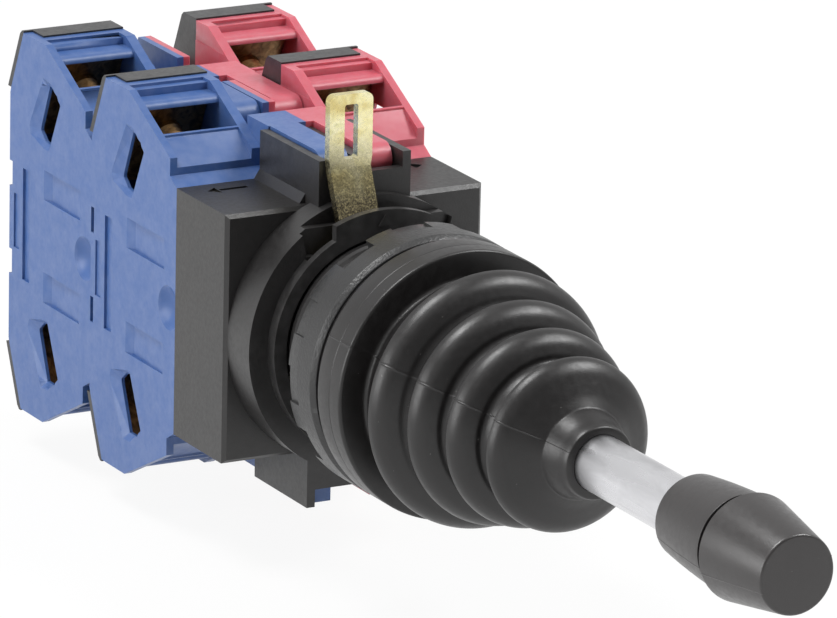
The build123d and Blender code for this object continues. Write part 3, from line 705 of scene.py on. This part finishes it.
@dataclass
class PanelFitting:
    """Sleeve, flange, locking ring and boot retainer. Sizes in mm."""

    shop: Workshop
    thread_radius: float = 11.0
    ring_radius: float = 14.35
    ring_rear: float = -6.5
    ring_front: float = -11.8
    retainer_front: float = -15.5
    retainer_radius: float = 14.3
    neck_radius: float = 13.7
    notch_depth: float = 2.0
    notch_width: float = 4.0
    notch_angles: tuple[float, ...] = (31.5, 121.5, 211.5, 301.5)
    pad_height: float = 0.22
    pads: Corners = ((8.0, 25.5), (41.0, 54.5), (70.0, 82.0))
    seam_height: float = 0.07
    segments: int = 360

    def ring_outline(self, angle: float) -> Outline:
        """Section of the locking ring at an angle: pads and spanner notches cut into its rear half.

        Args:
            angle: angle from +X towards +Z, in degrees.

        Returns:
            Corners as (radius, y), always the same number of them.
        """
        turn = (angle - self.notch_angles[0]) % 90.0
        half_notch = math.degrees(self.notch_width / 2.0 / self.ring_radius)
        in_notch = turn < half_notch or turn > 90.0 - half_notch
        on_pad = any(low <= turn <= high for low, high in self.pads)
        rear = self.ring_rear - (self.notch_depth if in_notch else 0.0)
        rim = self.ring_radius - (0.0 if on_pad or in_notch else self.pad_height)
        step = self.ring_rear - self.notch_depth - 0.02
        bore = self.thread_radius + 0.05
        edge = 0.08
        front = rounded([(bore, self.ring_front), (self.ring_radius - 0.45, self.ring_front),
                         (self.ring_radius - 0.04, self.ring_front + 0.6), (self.ring_radius, step)],
                        {1: 0.18, 2: 0.25})
        return front + [(rim, step + 0.015), (rim, rear - edge), (rim - edge * 0.3, rear - edge * 0.3),
                        (rim - edge, rear), (bore, rear)]

    def ring_columns(self) -> list[float]:
        """Angles of the ring's columns: even ones, and close pairs at every step.

        Returns:
            Sorted angles in degrees.
        """
        half_notch = math.degrees(self.notch_width / 2.0 / self.ring_radius)
        steps = [half_notch, 90.0 - half_notch, *(edge for pad in self.pads for edge in pad)]
        angles = {round(360.0 * column / self.segments, 4) for column in range(self.segments)}
        for quarter in range(4):
            for step in steps:
                edge = (self.notch_angles[0] + 90.0 * quarter + step) % 360.0
                angles = {angle for angle in angles if abs(angle - edge) > 0.3}
                angles |= {round(edge - 0.06, 4), round(edge + 0.06, 4)}
        return sorted(angles)

    def build_ring(self) -> bpy.types.Object:
        """Build the locking ring: chamfered front, spanner notches and low pads on the rear half.

        Returns:
            The ring.
        """
        columns = self.ring_columns()
        form = turn_sections([self.ring_outline(angle) for angle in columns], columns)
        piece = self.shop.new_piece("locking_ring_surface", form, "ring_plastic")
        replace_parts(piece, "locking_ring")
        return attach(piece, "base")

    def build_retainer(self) -> bpy.types.Object:
        """Build the ring that holds the boot: a neck behind and a soft shoulder.

        Returns:
            The ring.
        """
        neck = self.ring_front - 1.0
        outline = rounded([(self.thread_radius, self.ring_front), (self.neck_radius, self.ring_front),
                           (self.neck_radius, neck), (self.retainer_radius, neck),
                           (self.retainer_radius, self.retainer_front), (self.thread_radius, self.retainer_front)],
                          {3: 0.3, 4: 0.2})
        form = turn_outline(outline, self.segments, seam_deg=SEAM_DEG, seam_height=self.seam_height)
        piece = self.shop.new_piece("boot_retainer_surface", form, "boot_rubber")
        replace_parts(piece, "boot_retainer")
        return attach(piece, "base")

    def build(self) -> list[bpy.types.Object]:
        """Build both rings and dress what carries them.

        Returns:
            The new pieces.
        """
        self.shop.dress_node("operator_sleeve", "black_housing")
        self.shop.dress_node("key_flange", "black_housing", edge_mm=0.12)
        return [self.build_ring(), self.build_retainer()]


@dataclass
class Boot:
    """Rubber bellows in two skins that meet in the valley behind the second rim. Sizes in mm."""

    shop: Workshop
    base_rear: float = -15.5
    base_front: float = -17.6
    base_radius: float = 14.3
    seat_radius: float = 11.0
    rims: Corners = ((-22.5, 13.55), (-27.5, 11.8), (-33.0, 10.4), (-38.9, 9.1))
    neck_rear: float = -42.3
    neck_radius: float = 4.75
    tip: float = -45.8
    tip_radius: float = 3.7
    rod_clearance_radius: float = 2.98
    wall: float = 0.9
    valley_depth: float = 2.5
    valley_back: float = 0.9
    bend_start: float = -16.8
    seam_height: float = 0.08
    segments: int = 288
    steps: int = 6

    def leaf(self, rim: float, radius: float, following: tuple[float, float]) -> Outline:
        """Outer line of one leaf, from the valley behind its rim to the valley of the next.

        Args:
            rim: y of the rim.
            radius: radius of the rim.
            following: (radius, y) at which the leaf ends.

        Returns:
            Points as (radius, y).
        """
        back = curve_through([(radius - 2.5, rim + 0.9), (radius - 1.4, rim + 0.6), (radius - 0.4, rim + 0.36)], 4)
        lip = curve_through([(radius - 0.4, rim + 0.36), (radius - 0.09, rim + 0.22), (radius, rim - 0.05)], 3)
        front = curve_through([(radius, rim - 0.05), (radius - 0.1, rim - 0.6), (radius - 0.4, rim - 1.2),
                               (radius - 1.0, rim - 1.8), (radius - 2.0, rim - 2.3), (radius - 2.9, rim - 2.7),
                               following], self.steps)
        return back[:-1] + lip[:-1] + front

    def valley(self, rim: tuple[float, float], wall: float = 0.0) -> tuple[float, float]:
        """Bottom of the valley behind a rim.

        Args:
            rim: the rim as (y, radius).
            wall: how much deeper, for the inner line.

        Returns:
            The point as (radius, y).
        """
        y, radius = rim
        return radius - self.valley_depth - wall, y + self.valley_back

    def skin(self, name: str, outer: Outline, inner: Outline) -> bpy.types.Object:
        """Make one closed skin.

        Args:
            name: name of the piece.
            outer: outer line, from the panel to the tip.
            inner: inner line, from the tip back to the panel.

        Returns:
            The skin.
        """
        form = turn_outline(outer + inner, self.segments, SEAM_DEG, self.seam_height)
        return self.shop.new_piece(name, form, "boot_rubber", angle=50.0)

    def build(self) -> list[bpy.types.Object]:
        """Build both skins.

        Returns:
            The two skins.
        """
        one, _, three, four = self.rims
        (y1, r1), (y2, r2), (y3, r3), (y4, r4) = self.rims
        collar = rounded([(self.base_radius, self.base_rear), (self.base_radius, self.base_front),
                          (r1 - 2.3, self.base_front - 0.1), self.valley(one)], {1: 0.35, 2: 0.6})
        rear_outer = collar[:-1] + self.leaf(y1, r1, (r2 - 2.45, y2 + 1.0))
        rear_inner = [(r2 - 3.0, y2 - 0.4), (r2 - 3.35, y2 - 0.4), (r2 - 3.4, y2 + 1.0),
                      self.valley(one, self.wall),
                      (self.seat_radius - 0.5, self.base_front), (self.seat_radius, self.base_front),
                      (self.seat_radius, self.base_rear)]
        rear = self.skin("boot_rear_leaves", rear_outer, rear_inner)
        face = curve_through([(r4, y4 - 0.05), (r4 - 0.08, y4 - 0.5), (r4 - 0.38, y4 - 1.05), (r4 - 1.05, y4 - 1.65),
                              (r4 - 2.1, y4 - 2.2), (r4 - 3.3, y4 - 2.8), (self.neck_radius + 0.12, self.neck_rear)], 8)
        neck = curve_through([(self.neck_radius - 0.05, self.neck_rear - 0.12),
                              (self.neck_radius - 0.25, self.neck_rear - 0.8),
                              (self.tip_radius + 0.42, self.tip + 1.6), (self.tip_radius + 0.2, self.tip + 0.5),
                              (self.tip_radius + 0.08, self.tip + 0.14)], 6)
        front_outer = self.leaf(y2, r2, self.valley(three))[:-1] + self.leaf(y3, r3, self.valley(four))[:-1]
        front_outer += self.leaf(y4, r4, (0.0, 0.0))[:8]
        front_outer += face[1:] + neck + [(self.tip_radius - 0.08, self.tip), (self.rod_clearance_radius, self.tip)]
        front_inner = [(self.rod_clearance_radius, self.tip + 1.6), self.valley(four, self.wall),
                       self.valley(three, self.wall), (r2 - 2.85, y2 + 0.3), (r2 - 2.85, y2 + 0.9)]
        front = self.skin("boot_front_leaves", front_outer, front_inner)
        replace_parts(rear, "boot")
        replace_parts(front, "boot")
        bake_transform(rear)
        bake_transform(front)
        return [rear, front]


@dataclass
class Grip:
    """Bright rod and stepped rubber knob. Sizes in mm."""

    shop: Workshop
    rod_radius: float = 2.93
    rod_shoulder: float = -11.2
    rod_end: float = -81.0
    spigot_radius: float = 1.5
    spigot_end: float = -0.3
    knob_rear: float = -64.2
    knob_rear_radius: float = 4.35
    back_radius: float = 5.1
    bulge: float = 0.1
    groove_width: float = 0.95
    groove_depth: float = 0.6
    step: float = -74.6
    step_radius: float = 5.55
    end: float = -83.8
    end_radius: float = 4.05
    back_parts: int = 8
    seam_deg: float = 200.0
    seam_height: float = 0.03
    segments: int = 192

    def build_rod(self) -> bpy.types.Object:
        """Build the rod with its chamfered end and the spigot behind.

        Returns:
            The rod.
        """
        outline = rounded([(0.0, self.rod_end), (self.rod_radius, self.rod_end), (self.rod_radius, self.rod_shoulder),
                           (self.spigot_radius, self.rod_shoulder), (self.spigot_radius, self.spigot_end),
                           (0.0, self.spigot_end)], {1: 0.4, 2: 0.1, 4: 0.3})
        piece = self.shop.new_piece("lever_rod_surface", turn_outline(outline, self.segments), "rod_steel")
        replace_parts(piece, "lever_rod")
        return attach(piece, "lever")

    def build_knob(self) -> bpy.types.Object:
        """Build the knob: tapered back, groove, step and longer front.

        Returns:
            The knob.
        """
        back = []
        last = self.step + self.groove_width
        for index in range(self.back_parts + 1):
            share = index / self.back_parts
            radius = self.knob_rear_radius + (self.back_radius - self.knob_rear_radius) * share
            back.append((radius + 4.0 * self.bulge * share * (1.0 - share),
                         self.knob_rear + (last - self.knob_rear) * share))
        floor = self.back_radius - self.groove_depth
        outline = rounded([(self.rod_radius, self.knob_rear), *back, (floor, last), (floor, self.step),
                           (self.step_radius, self.step), (self.end_radius, self.end), (0.0, self.end),
                           (0.0, self.rod_end), (self.rod_radius, self.rod_end)],
                          {1: 0.18, 9: 0.06, 12: 0.16, 13: 0.35}, steps=6)
        form = turn_outline(outline, self.segments, self.seam_deg, self.seam_height)
        piece = self.shop.new_piece("knob_surface", form, "knob_rubber", angle=40.0)
        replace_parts(piece, "knob")
        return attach(piece, "lever")

    def build(self) -> list[bpy.types.Object]:
        """Build rod and knob.

        Returns:
            The two pieces.
        """
        return [self.build_rod(), self.build_knob()]


@dataclass
class BayonetLever:
    """Stamped locking lever with its long slot. Sizes in mm."""

    shop: Workshop
    edge: float = 0.18

    def dress(self) -> None:
        """Finish the lever and round its stamped edges."""
        self.shop.dress_node("bayonet_lever", "yellow_zinc", edge_mm=self.edge)


@dataclass
class OperatorHousing:
    """Square housing with boss and channels. Sizes in mm."""

    shop: Workshop
    edge: float = 0.15

    def dress(self) -> None:
        """Finish the housing and break its edges."""
        self.shop.dress_node("housing", "black_housing", edge_mm=self.edge)


@dataclass
class ContactBlock:
    """One contact block: casing with its windows, covers and what works inside. Sizes in mm."""

    shop: Workshop
    row: Row
    column: Column
    edge: float = 0.14
    half_width: float = 15.0
    side_wall: float = 0.85
    tower_inner: float = 5.5
    first_front: float = 17.8
    pitch: float = 20.0
    window_depth: float = 0.5
    cut_clearance: float = 0.2
    wall_clearance: float = 0.05
    flat_deg: float = 0.4
    smooth_deg: float = 9.0
    window_rim: Corners = (
        (14.98, 11.8), (11.9, 17.3), (10.3, 17.2), (7.7, 15.25), (10.1, 10.2), (10.45, 9.55), (11.6, 9.55),
        (14.9, 10.4), (15.2, 11.2))
    window_slot: Corners = (
        (11.2, 16.5), (9.3, 16.5), (8.45, 16.0), (7.95, 15.2), (10.15, 10.6), (10.9, 10.0), (12.2, 10.2),
        (13.3, 11.1), (13.3, 11.5))
    spring_front: float = 14.0
    spring_rear: float = 18.5
    bar_front: float = 9.0
    bar_rear: float = 12.9
    bar_low: float = 18.6
    bar_underside: float = 19.3

    @property
    def name(self) -> str:
        """Name that all nodes of the block start with."""
        return f"{self.row.value}_{self.column.value}"

    @property
    def front(self) -> float:
        """Y of the block's front face."""
        return self.first_front + (self.pitch if self.row is Row.REAR else 0.0)

    @property
    def pusher(self) -> str:
        """Body that carries the block's plunger."""
        return {(Row.FRONT, Column.LEFT): "left_pusher", (Row.FRONT, Column.RIGHT): "right_pusher",
                (Row.REAR, Column.LEFT): "up_pusher", (Row.REAR, Column.RIGHT): "down_pusher"}[self.row, self.column]

    @property
    def side(self) -> float:
        """Sign of x on the block's side."""
        return -1.0 if self.column is Column.LEFT else 1.0

    def hull(self, sections: list[tuple[float, Corners]]) -> bpy.types.Object:
        """Make a pair of solid cutters, one for the upper and one for the lower tower.

        Args:
            sections: distance from the middle plane and the outline as (y from the front face, z) there.

        Returns:
            The cutters as one object.
        """
        form = bmesh.new()
        for level in (-1.0, 1.0):
            corners = [form.verts.new((self.side * x * MM, (self.front + y) * MM, level * z * MM))
                       for x, outline in sections for y, z in outline]
            bmesh.ops.convex_hull(form, input=corners)
        bmesh.ops.delete(form, geom=[corner for corner in form.verts if not corner.link_faces], context="VERTS")
        bmesh.ops.recalc_face_normals(form, faces=form.faces)
        mesh = bpy.data.meshes.new("cutter")
        form.to_mesh(mesh)
        form.free()
        cutter = bpy.data.objects.new("cutter", mesh)
        bpy.context.scene.collection.objects.link(cutter)
        return cutter

    def open_casing(self, slot: str) -> bpy.types.Object:
        """Copy the casing and open its side windows and wire openings to their full width.

        Args:
            slot: its material slot.

        Returns:
            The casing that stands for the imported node.
        """
        piece = self.shop.copy_node(f"{self.name}_casing", slot)
        outside = self.half_width + self.cut_clearance
        bed = self.half_width - self.window_depth
        through = self.half_width - self.side_wall - self.wall_clearance
        bar = tuple((y, z) for y in (self.bar_front, self.bar_rear) for z in (self.bar_low, self.bar_underside))
        cutters = [self.hull([(outside, self.window_rim), (self.half_width, self.window_rim), (bed, self.window_slot)]),
                   self.hull([(outside, self.window_slot), (through, self.window_slot)]),
                   self.hull([(self.half_width - self.side_wall, bar), (self.tower_inner, bar)])]
        for cutter in cutters:
            cut = piece.modifiers.new("cut", "BOOLEAN")
            cut.operation = "DIFFERENCE"
            cut.solver = "EXACT"
            cut.object = cutter
        cut_mesh = bpy.data.meshes.new_from_object(piece.evaluated_get(bpy.context.evaluated_depsgraph_get()))
        piece.modifiers.clear()
        piece.data = cut_mesh
        form = bmesh.new()
        form.from_mesh(cut_mesh)
        bmesh.ops.dissolve_limit(form, angle_limit=math.radians(self.flat_deg), verts=form.verts, edges=form.edges)
        form.to_mesh(cut_mesh)
        form.free()
        for cutter in cutters:
            bpy.data.objects.remove(cutter)
        self.shop.finish_edges(piece, slot, self.edge, angle=self.smooth_deg)
        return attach(piece, "base")

    def build_return_spring(self) -> bpy.types.Object:
        """Copy the return spring and finish it.

        Returns:
            The spring.
        """
        spring = self.shop.copy_node(f"{self.name}_return_spring", "spring_steel")
        self.shop.finish_edges(spring, "spring_steel", angle=50.0)
        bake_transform(spring)
        return spring

    def dress(self) -> None:
        """Finish every node of the block."""
        self.open_casing("blue_plastic" if self.column is Column.LEFT else "red_plastic")
        for level in ("upper", "lower"):
            self.shop.dress_node(f"{self.name}_{level}_cover", "cover_plastic", edge_mm=0.1)
        self.shop.dress_node(f"{self.name}_plunger", "plunger_plastic", edge_mm=0.1)
        for part in ("bridge", "contact_strips"):
            self.shop.dress_node(f"{self.name}_{part}", "contact_brass", edge_mm=0.08)
        self.shop.dress_node(f"{self.name}_leaf_spring", "spring_steel")
        self.build_return_spring()


@dataclass
class Mechanism:
    """Gimbal, rocker, push rods and terminal fasteners behind the covers."""

    shop: Workshop
    steel: tuple[str, ...] = ("rocker", "gimbal_ring")
    pins: tuple[str, ...] = ("rocker_nut", "cross_pins", "upright_pins")
    push_rods: tuple[str, ...] = ("up_push_rod", "down_push_rod", "left_push_rod", "right_push_rod")

    def dress(self) -> None:
        """Finish every inner node."""
        for name in self.steel:
            self.shop.dress_node(name, "rocker_steel", edge_mm=0.08)
        for name in self.pins:
            self.shop.dress_node(name, "pin_steel")
        for name in self.push_rods:
            self.shop.dress_node(name, "push_rod_plastic")
        self.shop.dress_node("centering_spring", "spring_steel")
        self.shop.dress_node("terminal_screws", "screw_steel", angle=25.0)
        self.shop.dress_node("terminal_washers", "screw_steel", edge_mm=0.08)


@dataclass
class Studio:
    """Camera at the photograph's angle, pale floor and soft lamps. Places in metres."""

    camera_place: Vector = field(default_factory=lambda: Vector((-0.38857, -0.71965, 0.24891)))
    right: Vector = field(default_factory=lambda: Vector((0.88064, -0.47329, 0.02143)))
    up: Vector = field(default_factory=lambda: Vector((0.11805, 0.26300, 0.95754)))
    lens: float = 356.0
    floor_gap: float = 0.004

    def set_camera(self) -> None:
        """Place the camera that sees the switch as the photograph does."""
        data = bpy.data.cameras.new("camera")
        data.lens = self.lens
        data.sensor_width = 36.0
        data.sensor_fit = "HORIZONTAL"
        data.clip_start = 0.01
        data.clip_end = 10.0
        camera = bpy.data.objects.new("camera", data)
        right = self.right.normalized()
        back = right.cross(self.up).normalized()
        up = back.cross(right)
        axes = Matrix((right, up, back)).transposed().to_4x4()
        camera.matrix_world = Matrix.Translation(self.camera_place) @ axes
        bpy.context.scene.collection.objects.link(camera)
        bpy.context.scene.camera = camera

    def lay_floor(self) -> None:
        """Lay a wide pale floor a little under the switch."""
        low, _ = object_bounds()
        form = bmesh.new()
        bmesh.ops.create_grid(form, x_segments=8, y_segments=8, size=3.0)
        mesh = bpy.data.meshes.new("floor")
        form.to_mesh(mesh)
        form.free()
        floor = bpy.data.objects.new("floor", mesh)
        floor.location = (0.0, 0.0, low[2] - self.floor_gap)
        bpy.context.scene.collection.objects.link(floor)
        floor.data.materials.append(self.white("pale floor", 0.92))
        floor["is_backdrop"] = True

    def white(self, name: str, share: float) -> bpy.types.Material:
        """White that keeps part of the shadow that falls on it.

        Args:
            name: the material's name.
            share: how much of it is plain white to the camera.

        Returns:
            The material.
        """
        material = bpy.data.materials.new(name)
        material.use_nodes = True
        tree = material.node_tree
        shader = tree.nodes["Principled BSDF"]
        shader.inputs["Base Color"].default_value = (0.9, 0.9, 0.9, 1.0)
        shader.inputs["Roughness"].default_value = 0.9
        shader.inputs["Specular IOR Level"].default_value = 0.0
        bright = tree.nodes.new("ShaderNodeEmission")
        mix = tree.nodes.new("ShaderNodeMixShader")
        scale = tree.nodes.new("ShaderNodeMath")
        scale.operation = "MULTIPLY"
        scale.inputs[1].default_value = share
        tree.links.new(self.seen_directly(tree), scale.inputs[0])
        tree.links.new(scale.outputs["Value"], mix.inputs["Fac"])
        tree.links.new(shader.outputs["BSDF"], mix.inputs[1])
        tree.links.new(bright.outputs["Emission"], mix.inputs[2])
        tree.links.new(mix.outputs["Shader"], tree.nodes["Material Output"].inputs["Surface"])
        return material

    def seen_directly(self, tree: bpy.types.NodeTree) -> bpy.types.NodeSocket:
        """Tell rays that look straight, by mirror or through glass from those that carry light.

        Args:
            tree: the node tree that asks.

        Returns:
            1 for a camera, glossy or transmission ray, otherwise 0.
        """
        path = tree.nodes.new("ShaderNodeLightPath")
        share = path.outputs["Is Camera Ray"]
        for name in ("Is Glossy Ray", "Is Transmission Ray"):
            highest = tree.nodes.new("ShaderNodeMath")
            highest.operation = "MAXIMUM"
            tree.links.new(share, highest.inputs[0])
            tree.links.new(path.outputs[name], highest.inputs[1])
            share = highest.outputs["Value"]
        return share

    def from_behind(self, tree: bpy.types.NodeTree, low: float, high: float) -> bpy.types.NodeSocket:
        """Strength of the sky by direction: full behind and beside the switch, low in front of it.

        Args:
            tree: the world's node tree.
            low: strength straight in front.
            high: strength beside and behind.

        Returns:
            The strength.
        """
        place = tree.nodes.new("ShaderNodeTexCoord")
        parts = tree.nodes.new("ShaderNodeSeparateXYZ")
        fade = tree.nodes.new("ShaderNodeMapRange")
        fade.interpolation_type = "SMOOTHSTEP"
        fade.inputs["From Min"].default_value = -0.95
        fade.inputs["From Max"].default_value = 0.0
        fade.inputs["To Min"].default_value = low
        fade.inputs["To Max"].default_value = high
        tree.links.new(place.outputs["Generated"], parts.inputs["Vector"])
        tree.links.new(parts.outputs["Y"], fade.inputs["Value"])
        return fade.outputs["Result"]

    def set_world(self, level: float = 0.44, front: float = 0.36) -> None:
        """Set a soft sky that shows as white and is dimmer in front of the switch.

        Args:
            level: strength of the light that it gives.
            front: share of that strength straight in front.
        """
        world = bpy.data.worlds.new("studio")
        world.use_nodes = True
        tree = world.node_tree
        light = tree.nodes["Background"]
        light.inputs["Color"].default_value = (1.0, 1.0, 1.0, 1.0)
        white = tree.nodes.new("ShaderNodeBackground")
        tree.links.new(self.from_behind(tree, front * level, level), light.inputs["Strength"])
        shown = tree.nodes.new("ShaderNodeMath")
        shown.operation = "MAXIMUM"
        path = tree.nodes.new("ShaderNodeLightPath")
        tree.links.new(self.from_behind(tree, front, 1.0), shown.inputs[0])
        tree.links.new(path.outputs["Is Camera Ray"], shown.inputs[1])
        tree.links.new(shown.outputs["Value"], white.inputs["Strength"])
        mix = tree.nodes.new("ShaderNodeMixShader")
        tree.links.new(self.seen_directly(tree), mix.inputs["Fac"])
        tree.links.new(light.outputs["Background"], mix.inputs[1])
        tree.links.new(white.outputs["Background"], mix.inputs[2])
        tree.links.new(mix.outputs["Shader"], tree.nodes["World Output"].inputs["Surface"])
        bpy.context.scene.world = world

    def add_lamp(self, name: str, place: Vector, aim: Vector, size: float, power: float) -> None:
        """Add one soft square lamp.

        Args:
            name: name of the lamp.
            place: where it stands.
            aim: the point it shines at.
            size: width of its face.
            power: its power in watts.
        """
        data = bpy.data.lights.new(name, "AREA")
        data.shape = "RECTANGLE"
        data.size = size
        data.size_y = size * 0.7
        data.energy = power
        lamp = bpy.data.objects.new(name, data)
        lamp.location = place
        lamp.rotation_euler = (aim - place).to_track_quat("-Z", "Y").to_euler()
        bpy.context.scene.collection.objects.link(lamp)

    def build(self) -> None:
        """Set camera, floor, sky and lamps."""
        self.set_camera()
        self.lay_floor()
        self.set_world()
        aim = Vector((0.0, -0.01, 0.0))
        self.add_lamp("key", Vector((-0.3, 0.1, 0.8)), aim, 0.4, 5.0)
        self.add_lamp("left fill", Vector((-0.8, 0.15, 0.15)), aim, 0.6, 3.4)
        self.add_lamp("top right", Vector((0.5, -0.26, 0.64)), aim, 0.4, 4.6)
        bpy.context.scene.view_settings.view_transform = "Standard"


def main() -> None:
    """Load the frame, build every sub-assembly and log the face count of each new piece."""
    logging.basicConfig(level=logging.INFO, format="%(name)s: %(message)s")
    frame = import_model()
    shop = Workshop(frame, FinishBook())
    for maker in (PanelFitting(shop), Boot(shop), Grip(shop)):
        for piece in maker.build():
            log.info("%s: %d faces", piece.name, len(piece.data.polygons))
    blocks = [ContactBlock(shop, row, column) for row in Row for column in Column]
    for part in (BayonetLever(shop), OperatorHousing(shop), *blocks, Mechanism(shop)):
        part.dress()
        log.info("dressed %s", getattr(part, "name", type(part).__name__))
    Studio().build()


if __name__ == "__main__":
    main()
